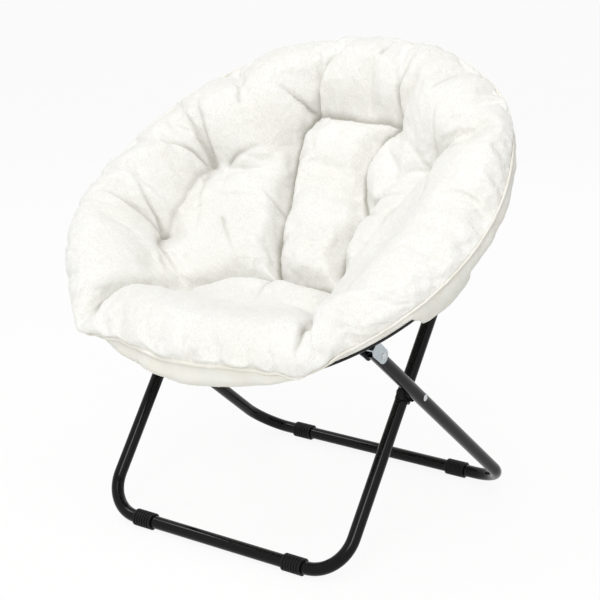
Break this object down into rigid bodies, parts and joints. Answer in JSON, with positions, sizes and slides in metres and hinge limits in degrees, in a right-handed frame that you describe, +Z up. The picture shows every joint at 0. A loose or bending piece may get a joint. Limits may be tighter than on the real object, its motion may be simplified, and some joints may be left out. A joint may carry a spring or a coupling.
{
  "type": "folding saucer chair",
  "caption": "Folding chair: a round tilted hoop of black tube on two crossed U-shaped legs, with a deep tufted seat of cream plush hung in it.",
  "frame": {"origin": "on the floor, under the middle of the open chair's outline", "axes": "+X to the right of someone looking at the chair's front, +Y to its back, +Z up"},
  "size_m": [0.7678, 0.6296, 0.7966],
  "materials": {
    "black_coat": "gloss",
    "black_plastic": "moulded",
    "black_rubber": "ribbed",
    "rivet_steel": "satin",
    "zinc_plate": "bright zinc plate",
    "plush": "short plush pile",
    "cover_cloth": "flat woven",
    "piping_cloth": "flat woven, piped"
  },
  "bodies": {
    "front_leg": {"front_leg_tube": "black_coat", "front_foot_sleeve_left": "black_rubber", "front_foot_sleeve_right": "black_rubber", "leg_spacer_left": "black_plastic", "leg_spacer_right": "black_plastic", "crossing_rivets_inner": "rivet_steel"},
    "rear_leg": {"rear_leg_tube": "black_coat", "rear_foot_sleeve_left": "black_rubber", "rear_foot_sleeve_right": "black_rubber", "crossing_rivets_outer": "rivet_steel"},
    "back_hoop": {"back_hoop_tube": "black_coat", "back_hinge_ear_left": "black_coat", "back_hinge_ear_right": "black_coat", "back_bracket_left": "zinc_plate", "back_bracket_right": "zinc_plate", "back_bracket_rivets": "rivet_steel", "back_cover_band": "cover_cloth", "back_cover_underside": "cover_cloth", "back_edge_piping": "piping_cloth", "back_seat_pad": "plush"},
    "front_hoop": {"front_hoop_tube": "black_coat", "front_hinge_ear_left": "black_coat", "front_hinge_ear_right": "black_coat", "hinge_rivets": "rivet_steel", "front_bracket_left": "zinc_plate", "front_bracket_right": "zinc_plate", "front_bracket_rivets": "rivet_steel", "front_cover_band": "cover_cloth", "front_cover_underside": "cover_cloth", "front_edge_piping": "piping_cloth", "front_seat_pad": "plush"}
  },
  "joints": [
    {"name": "hoop_fold", "type": "hinge", "parent": "back_hoop", "child": "front_hoop", "pos_m": [0, -0.0815, 0.45743], "axis": [1, 0, 0], "range_deg": [0, 97.8], "deforming": ["back_seat_pad", "front_seat_pad", "back_cover_underside", "front_cover_underside"]},
    {"name": "back_bracket_turn", "type": "hinge", "parent": "front_leg", "child": "back_hoop", "pos_m": [0, 0.26517, 0.66357], "axis": [1, 0, 0], "range_deg": [-9.04, 0]},
    {"name": "front_bracket_turn", "type": "hinge", "parent": "front_hoop", "child": "rear_leg", "pos_m": [0, -0.15607, 0.37465], "axis": [1, 0, 0], "range_deg": [-138.24, 0]}
  ],
  "couplings": [
    {"joint": "back_bracket_turn", "follows": "hoop_fold", "ratio": -0.09239},
    {"joint": "front_bracket_turn", "follows": "hoop_fold", "ratio": -1.4135}
  ]
}
